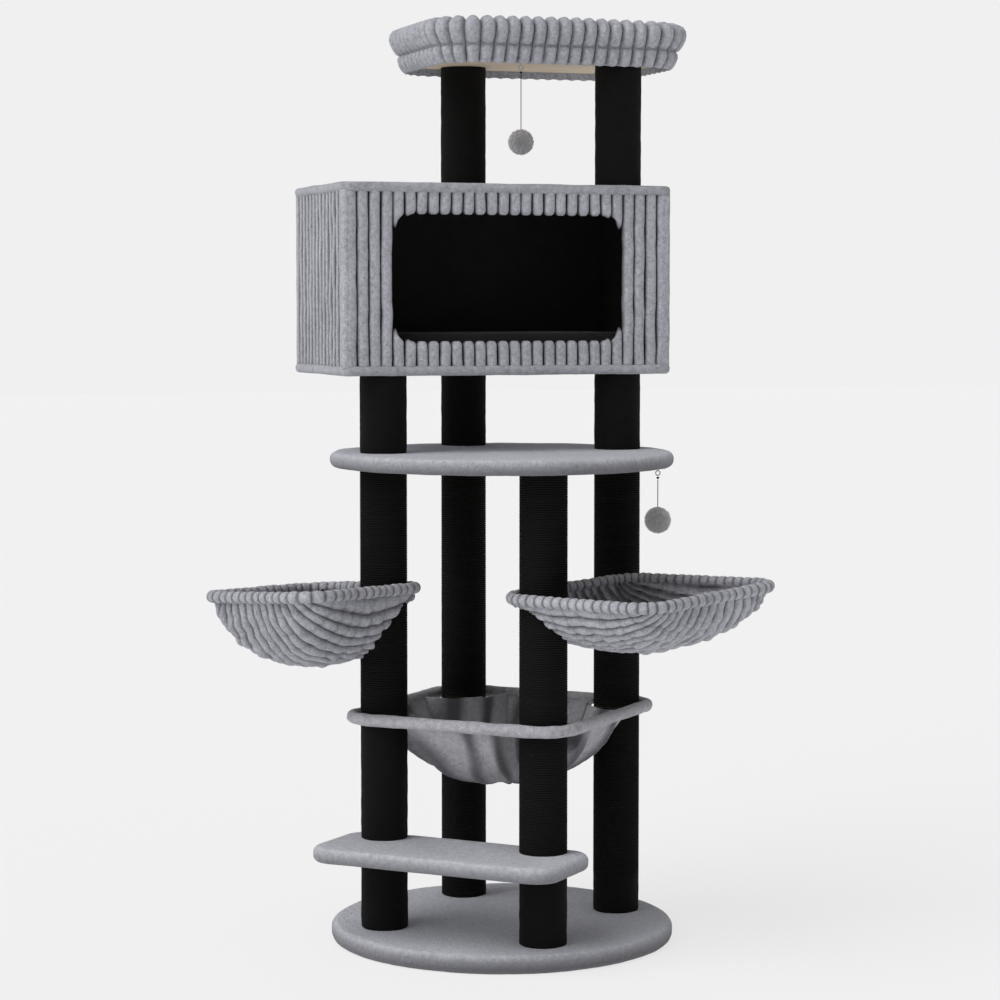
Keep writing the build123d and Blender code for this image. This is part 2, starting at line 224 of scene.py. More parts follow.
def makeCreviceShadeGroup():
    # painted shade: darkens the bottoms of quilted channels, folds and gathers, and the lower rims of board
    # covers, read from the piece's own "crest" attribute
    group, enter, leave = newTree("quiltCrevice", "ShaderNodeTree", [
        ("Colour", "Color", (0.4, 0.4, 0.43, 1)), ("Crevice", "Color", (0.1, 0.1, 0.12, 1)),
    ], [("Colour", "Color")])
    attribute = group.nodes.new("ShaderNodeAttribute")
    attribute.attribute_name = "crest"
    ramp = group.nodes.new("ShaderNodeMapRange")
    setInputs(ramp, From_Min=0.0, From_Max=0.85)
    group.links.new(attribute.outputs["Fac"], ramp.inputs["Value"])
    colour = mixColour(group, ramp.outputs[0], enter.outputs["Crevice"], enter.outputs["Colour"])
    group.links.new(colour, leave.inputs["Colour"])
    return group


def makeFibreGroup():
    # coarse fibres for rope, card and board: stretched streaks and specks
    group, enter, leave = newTree("fibreStreak", "ShaderNodeTree", [
        ("Colour", "Color", (0.4, 0.3, 0.2, 1)), ("Streak", "Color", (0.2, 0.15, 0.1, 1)),
        ("Stretch", "Vector", (1.0, 1.0, 1.0)), ("Scale", "Float", 120.0),
    ], [("Colour", "Color"), ("Height", "Float")])
    place = group.nodes.new("ShaderNodeTexCoord").outputs["Object"]
    stretched = group.nodes.new("ShaderNodeVectorMath")
    stretched.operation = "MULTIPLY"
    group.links.new(place, stretched.inputs[0])
    group.links.new(enter.outputs["Stretch"], stretched.inputs[1])
    streak = noiseNode(group, stretched.outputs[0], 120.0, 5.0, 0.65)
    group.links.new(enter.outputs["Scale"], streak.inputs["Scale"])
    speck = noiseNode(group, place, 700.0, 2.0, 0.55)
    total = mathNode(group, "ADD", mathNode(group, "MULTIPLY", streak.outputs["Fac"], 1.3),
                     mathNode(group, "MULTIPLY", speck.outputs["Fac"], 0.5))
    factor = clampNode(group, mathNode(group, "SUBTRACT", total, 0.4))
    colour = mixColour(group, factor, enter.outputs["Streak"], enter.outputs["Colour"])
    group.links.new(colour, leave.inputs["Colour"])
    group.links.new(total, leave.inputs["Height"])
    return group


pileGroup = makePileGroup()
creviceShadeGroup = makeCreviceShadeGroup()
fibreGroup = makeFibreGroup()
bumpDepth = {"pile": 0.0030, "fibre": 0.0006}


def placeGroup(tree, group, **values):
    node = tree.nodes.new("ShaderNodeGroup")
    node.node_tree = group
    setInputs(node, **values)
    return node


def addBump(tree, shader, height, strength, depth):
    bump = tree.nodes.new("ShaderNodeBump")
    setInputs(bump, Strength=strength, Distance=depth)
    tree.links.new(height, bump.inputs["Height"])
    tree.links.new(bump.outputs["Normal"], shader.inputs["Normal"])


def plushMaterial(name, colour, shade, crevice, sheen, nap, brush, bump=0.5):
    material, tree, shader = newMaterial(name)
    pile = placeGroup(tree, pileGroup, Colour=colour + (1,), Shade=shade + (1,), Nap_Scale=nap,
                      Brush_Scale=brush)
    colourOut = pile.outputs["Colour"]
    # painted shade: the hollows are darkened towards the crevice colour
    if crevice:
        dark = placeGroup(tree, creviceShadeGroup, Crevice=crevice + (1,))
        tree.links.new(colourOut, dark.inputs["Colour"])
        colourOut = dark.outputs["Colour"]
    tree.links.new(colourOut, shader.inputs["Base Color"])
    tree.links.new(pile.outputs["Roughness"], shader.inputs["Roughness"])
    setInputs(shader, Specular_IOR_Level=0.15, Sheen_Weight=sheen, Sheen_Roughness=0.45)
    addBump(tree, shader, pile.outputs["Height"], bump, bumpDepth["pile"])
    return material


def fibreMaterial(name, colour, streak, stretch, scale, rough, bump=0.3, metallic=0.0, specular=0.3):
    material, tree, shader = newMaterial(name)
    fibre = placeGroup(tree, fibreGroup, Colour=colour + (1,), Streak=streak + (1,), Stretch=stretch,
                       Scale=scale)
    tree.links.new(fibre.outputs["Colour"], shader.inputs["Base Color"])
    setInputs(shader, Roughness=rough, Metallic=metallic, Specular_IOR_Level=specular)
    addBump(tree, shader, fibre.outputs["Height"], bump, bumpDepth["fibre"])
    return material


# colour, shade between the hairs, painted crevice shade, sheen, nap scale, brush scale, bump
plushes = {
    "greyPlush": ((0.56, 0.57, 0.62), (0.28, 0.285, 0.315), None, 0.25, 420, 120, 1.0),
    # a lighter copy of the grey plush with painted light, to offset the shadow under the platform; its dark
    # colour is painted shade for the covers' lower rims
    "coverPlush": ((0.70, 0.71, 0.78), (0.42, 0.425, 0.47), (0.10, 0.10, 0.112), 0.25, 420, 120, 1.0),
    "ribbedPlush": ((0.65, 0.655, 0.72), (0.31, 0.315, 0.355), (0.025, 0.025, 0.031), 0.25, 420, 150, 1.0),
    "foldedPlush": ((0.62, 0.62, 0.665), (0.30, 0.30, 0.33), (0.12, 0.12, 0.135), 0.25, 450, 110, 0.9),
    "blackPlush": ((0.0062, 0.0060, 0.0056), (0.0025, 0.0025, 0.0023), None, 0.012, 700, 40),
    "blackLining": ((0.022, 0.022, 0.021), (0.012, 0.012, 0.012), None, 0.02, 500, 30),
    "blackMat": ((0.012, 0.012, 0.012), (0.006, 0.006, 0.006), None, 0.15, 700, 45),
    "pompomPlush": ((0.95, 0.95, 0.96), (0.75, 0.75, 0.77), None, 0.4, 1200, 160),
}
# colour, streak, stretch, scale, roughness, bump, metallic, specular
fibres = {
    "blackSisal": ((0.0098, 0.0096, 0.0094), (0.005, 0.005, 0.0048), (1, 1, 3), 260, 0.9, 0.4, 0, 0.12),
    "blackCord": ((0.02, 0.02, 0.02), (0.008, 0.008, 0.008), (1, 1, 1), 900, 0.8),
    "rawBoard": ((0.72, 0.60, 0.46), (0.58, 0.46, 0.33), (0.2, 1, 1), 60, 0.7, 0.15),
    "fibreboard": ((0.45, 0.35, 0.25), (0.36, 0.27, 0.19), (1, 1, 1), 300, 0.8, 0.2),
    "cardTube": ((0.42, 0.32, 0.22), (0.32, 0.24, 0.16), (1, 1, 0.4), 90, 0.85, 0.2),
    "blackPlastic": ((0.03, 0.03, 0.03), (0.02, 0.02, 0.02), (1, 1, 1), 500, 0.5, 0.05),
    "zincSteel": ((0.62, 0.62, 0.64), (0.5, 0.5, 0.52), (1, 1, 0.1), 400, 0.35, 0.05, 1.0, 0.5),
}
finishes = {name: plushMaterial(name, *look) for name, look in plushes.items()}
finishes.update({name: fibreMaterial(name, *look) for name, look in fibres.items()})
slotFinish = {
    "grey_plush": "greyPlush", "ribbed_grey_plush": "ribbedPlush", "pale_grey_plush": "greyPlush",
    "board": "fibreboard", "raw_wood": "rawBoard", "black_lining": "blackLining", "cardboard": "cardTube",
    "moulded_plastic": "blackPlastic", "zinc_steel": "zincSteel", "black_plush": "blackPlush",
    "black_sisal": "blackSisal", "black_cord": "blackCord", "pompom_plush": "pompomPlush",
}

for part in frame["record"]["subparts"]:
    for place in frame["nodes"][part["node"]].material_slots:
        place.material = finishes[slotFinish[part["material_slot"]]]
print("materials ready")


def drift(point, scale, seed=0.0):
    return noise.noise(Vector(point) * scale + Vector((seed, seed * 1.7, seed * 0.3)))


def meshPiece(name, points, faces, finish, crest=None):
    mesh = bpy.data.meshes.new(name)
    mesh.from_pydata([tuple(p) for p in points], [], faces)
    mesh.materials.append(finishes[finish])
    if crest:
        layer = mesh.attributes.new("crest", "FLOAT", "POINT")
        layer.data.foreach_set("value", crest)
    mesh.polygons.foreach_set("use_smooth", [True] * len(mesh.polygons))
    mesh.update()
    work = bmesh.new()
    work.from_mesh(mesh)
    bmesh.ops.remove_doubles(work, verts=work.verts, dist=1e-6)
    bmesh.ops.recalc_face_normals(work, faces=work.faces)
    work.to_mesh(mesh)
    work.free()
    obj = bpy.data.objects.new(name, mesh)
    scene.collection.objects.link(obj)
    return obj


def settle(obj, body, slotName, *nodes):
    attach(obj, body)
    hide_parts(*nodes)
    return obj


def ringFaces(rowCount, ringCount, closedRows=False):
    faces = []
    rows = rowCount if closedRows else rowCount - 1
    for r in range(rows):
        below = r * ringCount
        above = ((r + 1) % rowCount) * ringCount
        for k in range(ringCount):
            n = (k + 1) % ringCount
            faces.append((below + k, below + n, above + n, above + k))
    return faces


def roundedRing(width, depth, corner, centre, height, cornerSteps=10, sideSteps=(24, 16)):
    # a rounded rectangle's points, the same number for any size
    points = []
    halfW, halfD = width / 2 - corner, depth / 2 - corner
    sides = [((halfW, -halfD), -pi / 2, (halfW, halfD), sideSteps[1]),
             ((halfW, halfD), 0.0, (-halfW, halfD), sideSteps[0]),
             ((-halfW, halfD), pi / 2, (-halfW, -halfD), sideSteps[1]),
             ((-halfW, -halfD), pi, (halfW, -halfD), sideSteps[0])]

    def addPoint(x, y, angle):
        points.append(Vector((centre[0] + x + corner * cos(angle), centre[1] + y + corner * sin(angle),
                              height)))
    for (cx, cy), start, (nx, ny), steps in sides:
        for k in range(cornerSteps):
            addPoint(cx, cy, start + (pi / 2) * k / cornerSteps)
        for k in range(steps):
            share = k / steps
            addPoint(cx + (nx - cx) * share, cy + (ny - cy) * share, start + pi / 2)
    return points


def stackPiece(name, rings, finish, wobble, shade=None):
    # rings stacked into a closed piece; shade is the painted shade's tone at the lower rim and how it falls
    # off upwards
    count = len(rings[0])
    points = [p.copy() for ring in rings for p in ring]
    faces = ringFaces(len(rings), count)
    for row, flip in ((0, True), (len(rings) - 1, False)):
        hub = len(points)
        points.append(sum(rings[row], Vector()) / count)
        base = row * count
        for k in range(count):
            n = (k + 1) % count
            faces.append((hub, base + n, base + k) if flip else (hub, base + k, base + n))
    for p in points:
        p += Vector((drift(p, 14, 1), drift(p, 14, 5), drift(p, 14, 9))) * wobble
        p += Vector((drift(p, 60, 2), drift(p, 60, 6), drift(p, 60, 4))) * wobble * 0.4
        p.z = max(p.z, 0.0)
    crest = None
    if shade:
        # painted shade: the board's edge is darker towards its bottom and lightest on the top, as if lit from
        # above
        tone, fall = shade
        bottom, top = min(p.z for p in points), max(p.z for p in points)
        crest = [tone + (1 - tone) * ((p.z - bottom) / (top - bottom)) ** fall for p in points]
    return meshPiece(name, points, faces, finish, crest)


boards = {
    "edge": 0.012, "skin": 0.002, "hem": 0.025, "wobble": 0.0011, "steps": 168, "arcSteps": 8,
    "topInsets": (0.24, 0.18, 0.12, 0.08, 0.05, 0.03, 0.018),
    # painted shade on each cover's lower rim: its tone there, and how it fades upwards
    "baseShade": (0.06, 3.0), "platformShade": (0.19, 2.0),
}


def discRing(centre, radius, height, steps):
    turns = [2 * pi * k / steps for k in range(steps)]
    return [Vector((centre[0] + radius * cos(turn), centre[1] + radius * sin(turn), height)) for turn in turns]


def coverProfile(bottom, top, edge, skin, hem, hasHem):
    # (inset from the outline, height) from the middle of the top, round the edge, to the hem and back inside
    outer = [(inset, top) for inset in boards["topInsets"]]
    steps = boards["arcSteps"]
    for k in range(steps + 1):
        angle = pi / 2 - k * (pi / 2) / steps
        outer.append((edge - edge * cos(angle), top - edge + edge * sin(angle)))
    for k in range(1, steps + 1):
        angle = -k * (pi / 2) / steps
        outer.append((edge - edge * cos(angle), bottom + edge + edge * sin(angle)))
    if not hasHem:
        return outer + [(0.03, bottom), (0.06, bottom)]
    inner = []
    for inset, height in reversed(outer):
        inner.append((inset + skin * (inset < edge), min(max(height, bottom + skin), top - skin)))
    return outer + [(hem, bottom), (hem, bottom + skin)] + inner


def discCover(name, node, shade):
    lowest, highest, centre = low(node), high(node), middle(node)
    radius = (highest.x - lowest.x) / 2
    profile = coverProfile(lowest.z, highest.z, boards["edge"], boards["skin"], boards["hem"], True)
    rings = [discRing(centre, radius - inset, height, boards["steps"]) for inset, height in profile]
    return settle(stackPiece(name, rings, "coverPlush", boards["wobble"], shade), "root", "grey_plush", node)


step = {
    "length": 0.465, "width": 0.187, "corner": 0.045, "edge": 0.011, "turn": -pi / 4, "wobble": 0.0007,
    # shade is the painted shade on the step cover's lower rim
    "leastHalf": 0.005, "leastCorner": 0.004, "shade": (0.22, 2.0),
}


def stepCover():
    node = "step_cover"
    centre = middle(node)
    profile = coverProfile(low(node).z, high(node).z, step["edge"], 0, 0, False)
    turn = Matrix.Rotation(step["turn"], 3, "Z")
    rings = []
    for inset, height in profile:
        inset = min(inset, step["width"] / 2 - step["leastHalf"])
        corner = max(step["corner"] - inset, step["leastCorner"])
        ring = roundedRing(step["length"] - 2 * inset, step["width"] - 2 * inset, corner, (0, 0), 0)
        rings.append([turn @ p + Vector((centre.x, centre.y, height)) for p in ring])
    piece = stackPiece("stepPlush", rings, "coverPlush", step["wobble"], step["shade"])
    return settle(piece, "root", "grey_plush", node)


discCover("basePlush", "base_cover", boards["baseShade"])
discCover("platformPlush", "platform_cover", boards["platformShade"])
stepCover()
print("boards covered")


def addNodes(tree, **kinds):
    return {label: tree.nodes.new(kind) for label, kind in kinds.items()}


def wire(tree, nodes, routes):
    # each route: from a node, its output, to a node, its input
    for source, output, target, entry in routes:
        tree.links.new(nodes[source].outputs[output], nodes[target].inputs[entry])


sisal = {"lap": 0.0024, "ropeRadius": 0.0020, "turnSteps": 44, "ropeSides": 6, "packing": 0.96}
posts = ["left_post", "front_post", "back_post", "right_post"]


def windingTree():
    # a rope wound round a post: spiral line, round section, material
    tree, enter, leave = newTree("ropeWinding", "GeometryNodeTree", [
        ("Geometry", "Geometry", None), ("Coil Radius", "Float", 0.0385), ("Rope Radius", "Float", 0.0026),
        ("Turns", "Float", 40.0), ("Height", "Float", 0.2), ("Steps", "Int", 44), ("Sides", "Int", 6),
        ("Finish", "Material", None),
    ], [("Geometry", "Geometry")])
    nodes = addNodes(tree, spiral="GeometryNodeCurveSpiral", section="GeometryNodeCurvePrimitiveCircle",
                     sweep="GeometryNodeCurveToMesh", shade="GeometryNodeSetShadeSmooth",
                     realize="GeometryNodeRealizeInstances", paint="GeometryNodeSetMaterial")
    nodes.update(enter=enter, leave=leave)
    setInputs(nodes["sweep"], Fill_Caps=True)
    wire(tree, nodes, [
        ("enter", "Coil Radius", "spiral", "Start Radius"), ("enter", "Coil Radius", "spiral", "End Radius"),
        ("enter", "Turns", "spiral", "Rotations"), ("enter", "Height", "spiral", "Height"),
        ("enter", "Steps", "spiral", "Resolution"), ("enter", "Sides", "section", "Resolution"),
        ("enter", "Rope Radius", "section", "Radius"), ("spiral", 0, "sweep", "Curve"),
        ("section", 0, "sweep", "Profile Curve"), ("sweep", 0, "shade", 0), ("shade", 0, "realize", 0),
        ("realize", 0, "paint", "Geometry"), ("enter", "Finish", "paint", "Material"),
        ("paint", 0, "leave", 0),
    ])
    return tree


def socketOf(tree, label):
    return next(item.identifier for item in tree.interface.items_tree
                if item.item_type == "SOCKET" and item.in_out == "INPUT" and item.name == label)


def bakeNodes(name, tree, values, place):
    # runs the tree once and keeps only its plain mesh, moved to its place
    carrier = bpy.data.objects.new(name + "Source", bpy.data.meshes.new(name + "Source"))
    scene.collection.objects.link(carrier)
    modifier = carrier.modifiers.new("make", "NODES")
    modifier.node_group = tree
    for label, value in values.items():
        modifier[socketOf(tree, label)] = value
    shaped = carrier.evaluated_get(bpy.context.evaluated_depsgraph_get())
    mesh = bpy.data.meshes.new_from_object(shaped)
    bpy.data.objects.remove(carrier)
    mesh.transform(Matrix.Translation(place))
    return mesh


def joinMeshes(name, meshes, finish):
    work = bmesh.new()
    for mesh in meshes:
        work.from_mesh(mesh)
    whole = bpy.data.meshes.new(name)
    work.to_mesh(whole)
    work.free()
    whole.materials.append(finishes[finish])
    whole.polygons.foreach_set("material_index", [0] * len(whole.polygons))
    obj = bpy.data.objects.new(name, whole)
    scene.collection.objects.link(obj)
    return obj


def solidSpans(node):
    # the heights at which the node's separate solids start and stop
    heights = sorted({round(v.co.z, 5) for v in frame["nodes"][node].data.vertices})
    return [(heights[k], heights[k + 1]) for k in range(0, len(heights) - 1, 2)]


def wrapSisal(post, tree):
    node = post + "_sisal"
    centre = middle(node)
    outside = (high(node).x - low(node).x) / 2
    rope = sisal["ropeRadius"]
    meshes = []
    for bottom, top in solidSpans(node):
        bottom, top = bottom - sisal["lap"], top + sisal["lap"] * (top < high(node).z)
        turns = round((top - bottom - 2 * rope) / (2 * rope * sisal["packing"]))
        values = {"Coil Radius": outside - rope, "Rope Radius": rope, "Turns": float(turns),
                  "Height": top - bottom - 2 * rope, "Steps": sisal["turnSteps"],
                  "Sides": sisal["ropeSides"], "Finish": finishes["blackSisal"]}
        meshes.append(bakeNodes(node, tree, values, (centre.x, centre.y, bottom + rope)))
    return settle(joinMeshes(post + "SisalRope", meshes, "blackSisal"), "root", "black_sisal", node)


winding = windingTree()
for post in posts:
    wrapSisal(post, winding)
print("sisal wound")


plushWrap = {
    "around": 72, "rise": 0.006, "roll": 0.0022, "rollSteps": 4, "wave": 0.0006, "thickness": 0.0045,
    "seamDepth": 0.0016, "seamHalfAngle": 0.09, "fewestRows": 6,
}


def wrapPlush(node):
    # a plush sleeve, drawn in slightly at its ends, with its seam at the back
    lowest, highest, centre = low(node), high(node), middle(node)
    radius = (highest.x - lowest.x) / 2
    inner = radius - plushWrap["thickness"]
    roll, rollSteps, wave = plushWrap["roll"], plushWrap["rollSteps"], plushWrap["wave"]
    tall = highest.z - lowest.z
    rows = max(plushWrap["fewestRows"], round(tall / plushWrap["rise"]))
    rings = []

    def addRing(size, height, seam=False):
        points = []
        for k in range(plushWrap["around"]):
            angle = 2 * pi * k / plushWrap["around"]
            away = abs((angle - pi / 2 + pi) % (2 * pi) - pi)
            groove = plushWrap["seamDepth"] * max(0.0, 1 - away / plushWrap["seamHalfAngle"]) if seam else 0
            reach = size - groove
            points.append(Vector((centre.x + reach * cos(angle), centre.y + reach * sin(angle), height)))
        rings.append(points)
    turns = [k / rollSteps * pi / 2 for k in range(rollSteps)]
    addRing(inner, lowest.z)
    for angle in turns:
        addRing(radius - roll + roll * sin(angle), lowest.z + roll - roll * cos(angle))
    for k in range(1, rows):
        addRing(radius, lowest.z + tall * k / rows, True)
    for angle in reversed(turns):
        addRing(radius - roll + roll * sin(angle), highest.z - roll + roll * cos(angle))
    addRing(inner, highest.z)
    points = [p for ring in rings for p in ring]
    for p in points:
        side = Vector((p.x - centre.x, p.y - centre.y, 0))
        if side.length > inner + 0.001:
            p += side.normalized() * (drift(p, 45, 3) * wave + drift(p, 150, 8) * wave / 2 - wave)
    first, *others = node.split("_")
    name = first + "".join(word.capitalize() for word in others)
    piece = meshPiece(name, points, ringFaces(len(rings), plushWrap["around"], True), "blackPlush")
    return settle(piece, "root", "black_plush", node)


for part in frame["record"]["subparts"]:
    if part["material_slot"] == "black_plush":
        wrapPlush(part["node"])
print("plush sleeves on")


house = {
    "ribPitch": 0.0212, "ribAcross": 9, "ribRise": 0.009, "ribEase": 0.0100, "easeSteps": 5, "fewestRows": 8,
    "band": 0.0165, "bandOut": 0.003, "bandSkin": 0.0028, "bandCorner": 0.020, "bandWobble": 0.0011,
    "openWidth": 0.430, "openLow": 0.059, "openHigh": 0.275, "openCorner": 0.043, "roll": 0.0085,
    "rollRows": 34, "rollAround": 16, "wall": 0.009, "sideGap": 0.012,
    "frontWander": 0.0016, "trimWander": 0.0012, "backWander": 0.002, "sideWander": 0.0025,
    "crossWander": 0.009,
}


def ribHeights(bottom, top, roundLow, roundHigh):
    # level steps up a rib, closer together where an end is rounded
    rows = max(house["fewestRows"], round((top - bottom) / house["ribRise"]))
    ease, steps = house["ribEase"], house["easeSteps"]
    heights = [bottom + (top - bottom) * k / rows for k in range(rows + 1)]
    extra = [ease * (1 - cos(pi / 2 * k / steps)) for k in range(1, steps)]
    if roundLow:
        heights = [bottom] + [bottom + e for e in extra] + [h for h in heights if h > bottom + ease]
    if roundHigh:
        heights = [h for h in heights if h < top - ease] + [top - e for e in reversed(extra)] + [top]
    return heights


def ribBar(cover, place, start, width, bottom, top, wander, seed, roundLow=False, roundHigh=False, trim=None,
           narrow=4.0):
    # one stuffed channel: a half-round bar between two heights, its ends rounded or running under a band
    points, faces, crest = cover
    across, ease = house["ribAcross"], house["ribEase"]
    first = len(points)
    heights = ribHeights(bottom, top, roundLow, roundHigh)
    for height in heights:
        swell = 1.0
        for flag, gap in ((roundLow, height - bottom), (roundHigh, top - height)):
            if flag and gap < ease:
                swell *= sqrt(max(0.0, 1 - (1 - gap / ease) ** 2))
        shift = wander * drift((start * 3, seed, height), 22, seed)
        shift += wander * 0.5 * drift((start, seed, height), 55, 4)
        fullness = 1 + 0.10 * drift((start, seed * 2, height), 18, 7)
        for j in range(across + 1):
            share = 2 * j / across - 1
            out = house["wall"] * fullness * swell * (1 - abs(share) ** 2.5) ** 0.5
            out += 0.0005 * drift((start + share * width, seed, height), 160, 2) * (1 - abs(share))
            level = height
            if trim:
                along = (height - bottom) / (top - bottom)
                end = trim(start + share * width / 2)
                level = bottom + (end - bottom) * along if roundHigh else end + (top - end) * along
            points.append(place(start + shift + share * width / 2 * (0.35 + 0.65 * swell), level, out))
            # painted shade: darker at each rib's sides and where its ends round off
            crest.append((1 - abs(share) ** narrow) * min(1, 0.35 + swell))
    wide = across + 1
    rows = len(heights)
    for r in range(rows - 1):
        for j in range(across):
            a = first + r * wide + j
            faces.append((a, a + 1, a + wide + 1, a + wide))
    for r in range(rows - 1):
        a = first + r * wide
        faces.append((a, a + wide, a + wide + across, a + across))
    faces.append(tuple(first + j for j in range(across, -1, -1)))
    faces.append(tuple(first + (rows - 1) * wide + j for j in range(wide)))


def cornerRoll(cover, x, y, bottom, top):
    # the stuffed upright that closes the cover where two walls meet
    points, faces, crest = cover
    rows, around = house["rollRows"], house["rollAround"]
    seed = 3 + 10 * x + 20 * y
    first = len(points)
    for r in range(rows + 1):
        height = bottom + (top - bottom) * r / rows
        for k in range(around):
            angle = 2 * pi * k / around
            radius = house["roll"] * (1 + 0.08 * drift((cos(angle), sin(angle), height * 40), 0.8, seed))
            points.append(Vector((x + radius * cos(angle), y + radius * sin(angle), height)))
            crest.append(1.0)
    faces.extend(tuple(first + q for q in face) for face in ringFaces(rows + 1, around))
    faces.append(tuple(first + k for k in range(around - 1, -1, -1)))
    faces.append(tuple(first + rows * around + k for k in range(around)))


def openingReach(offset):
    # half the opening's height at a distance from its middle, or 0 beyond its side
    half = house["openWidth"] / 2
    corner = house["openCorner"]
    tall = (house["openHigh"] - house["openLow"]) / 2
    offset = abs(offset)
    if offset >= half:
        return 0.0
    if offset <= half - corner:
        return tall
    return tall - corner + sqrt(max(0, corner ** 2 - (offset - half + corner) ** 2))


def houseRibs():
    node = "house_wall_cover"
    lowest, highest = low(node), high(node)
    wall = house["wall"]
    bottom, top = lowest.z + house["band"] * 0.75, highest.z - house["band"] * 0.75
    openMiddle = lowest.z + (house["openLow"] + house["openHigh"]) / 2
    least = (house["openHigh"] - house["openLow"]) / 2 - house["openCorner"] * 0.6
    cover = [], [], []    # points, faces and crests

    def onFront(offset, height, out):
        return Vector((offset, lowest.y + wall - out, height))

    def onBack(offset, height, out):
        return Vector((-offset, highest.y - wall + out, height))

    def onLeft(offset, height, out):
        return Vector((lowest.x + wall - out, -offset, height))

    def onRight(offset, height, out):
        return Vector((highest.x - wall + out, offset, height))

    def underTrim(offset):
        return openMiddle - max(openingReach(offset), least)

    def overTrim(offset):
        return openMiddle + max(openingReach(offset), least)

    def row(length, centre):
        # each rib's number, middle and width along a wall
        count = round(length / house["ribPitch"])
        pitch = length / count
        return [(k, centre - length / 2 + pitch * (k + 0.5), pitch) for k in range(count)]
    width = highest.x - lowest.x - house["sideGap"]
    depth = highest.y - lowest.y - house["sideGap"]
    centreY = (highest.y + lowest.y) / 2
    for k, at, pitch in row(width, 0):
        reach = openingReach(at)
        if reach > 0.02:
            corner = abs(at) > house["openWidth"] / 2 - house["openCorner"]
            wander = house["trimWander"]
            ribBar(cover, onFront, at, pitch * 1.03, bottom, openMiddle - reach, wander, k,
                   roundHigh=True, trim=underTrim if corner else None)
            ribBar(cover, onFront, at, pitch * 1.03, openMiddle + reach, top, wander, k + 50,
                   roundLow=True, trim=overTrim if corner else None)
        else:
            ribBar(cover, onFront, at, pitch * 1.04, bottom, top, house["frontWander"], k)
        ribBar(cover, onBack, at, pitch * 1.04, bottom, top, house["backWander"], k + 100)
    leftRow = row(depth, -centreY)
    for k, at, pitch in leftRow:
        # the left wall's ribs wander more towards the front, so that some cross
        nearFront = max(0.0, 1 - (depth / 2 - (at + centreY)) / (depth * 0.4))
        wander = house["sideWander"] + house["crossWander"] * nearFront * (k < len(leftRow) - 1)
        ribBar(cover, onLeft, at, pitch * 1.05, bottom, top, wander, k + 200, narrow=1.3)
    for k, at, pitch in row(depth, centreY):
        ribBar(cover, onRight, at, pitch * 1.04, bottom, top, house["sideWander"], k + 300)
    inset = house["roll"] + 0.0005
    for x in (lowest.x + inset, highest.x - inset):
        for y in (lowest.y + inset, highest.y - inset):
            cornerRoll(cover, x, y, bottom, top)
    points, faces, crest = cover
    piece = meshPiece("houseRibs", points, faces, "ribbedPlush", crest)
    return settle(piece, "root", "ribbed_grey_plush", node)


def houseBand(name, bottom, top, flat, node):
    # the plain plush panel on the roof or floor, rolled over the walls' edge; flat is 1 for up, -1 for down
    cover = "house_wall_cover"
    lowest, highest, centre = low(cover), high(cover), middle(cover)
    out, skin, corner = house["bandOut"], house["bandSkin"], house["bandCorner"]
    width, depth = highest.x - lowest.x + 2 * out, highest.y - lowest.y + 2 * out
    roll = (top - bottom) / 2
    wall = house["wall"] + out
    flatSide, inside = (top, bottom) if flat > 0 else (bottom, top)
    profile = [(inset, flatSide) for inset in (0.15, 0.11, 0.07, 0.04, 0.02)]
    for k in range(11):
        angle = pi / 2 - pi * k / 10
        bulge = (roll - roll * cos(angle)) * 0.8
        profile.append((bulge, (top + bottom) / 2 + flat * roll * sin(angle)))
    profile.append((wall - 0.0004, inside))
    for inset in (wall - 0.0002, 0.04, 0.11, 0.15):
        profile.append((inset, flatSide - flat * skin))
    rings = [roundedRing(width - 2 * inset, depth - 2 * inset, max(corner - inset, 0.003), centre, height,
                         6, (56, 30)) for inset, height in profile]
    piece = stackPiece(name, rings, "greyPlush", house["bandWobble"])
    return settle(piece, "root", "grey_plush", node)


houseRibs()
wallCover = "house_wall_cover"
houseBand("roofPlush", high(wallCover).z - house["band"], high(wallCover).z, 1, "house_roof_cover")
houseBand("floorPlush", low(wallCover).z, low(wallCover).z + house["band"], -1, "house_floor_cover")
print("house covered")


perch = {
    "pitch": 0.0232, "perPuff": 12, "width": 0.434, "depth": 0.320, "corner": 0.070, "puff": 0.0120,
    "seam": 0.031, "overBoard": 0.0006, "lift": 0.0021,
    # round the section: outward, height, and how much of the puff shows
    "skirt": [(-0.0066, 0.0010, 0.0), (-0.0035, -0.0004, 0.5), (0.000, 0.0015, 0.8), (0.0050, 0.006, 1.0),
              (0.0090, 0.013, 1.0), (0.0112, 0.020, 1.0), (0.0110, 0.0265, 0.8)],
    "outside": [(0.0080, -0.0008, 0.35), (0.0080, 0.0008, 0.35), (0.0150, 0.004, 0.8), (0.0195, 0.010, 1.0),
                (0.0240, 0.018, 1.0), (0.0265, 0.027, 1.0), (0.0255, 0.036, 1.0), (0.0200, 0.0435, 1.0)],
    "inside": [(0.0090, 0.0010, 1.0), (-0.004, 0.0006, 1.0), (-0.0155, 0.006, 1.0), (-0.0245, 0.015, 0.9),
               (-0.0300, 0.027, 0.8), (-0.0330, 0.040, 0.5)],
    "foot": [(-0.0335, 0.003, 0.2), (-0.031, 0.0, 0.0), (-0.0066, 0.0, 0.0)],
}


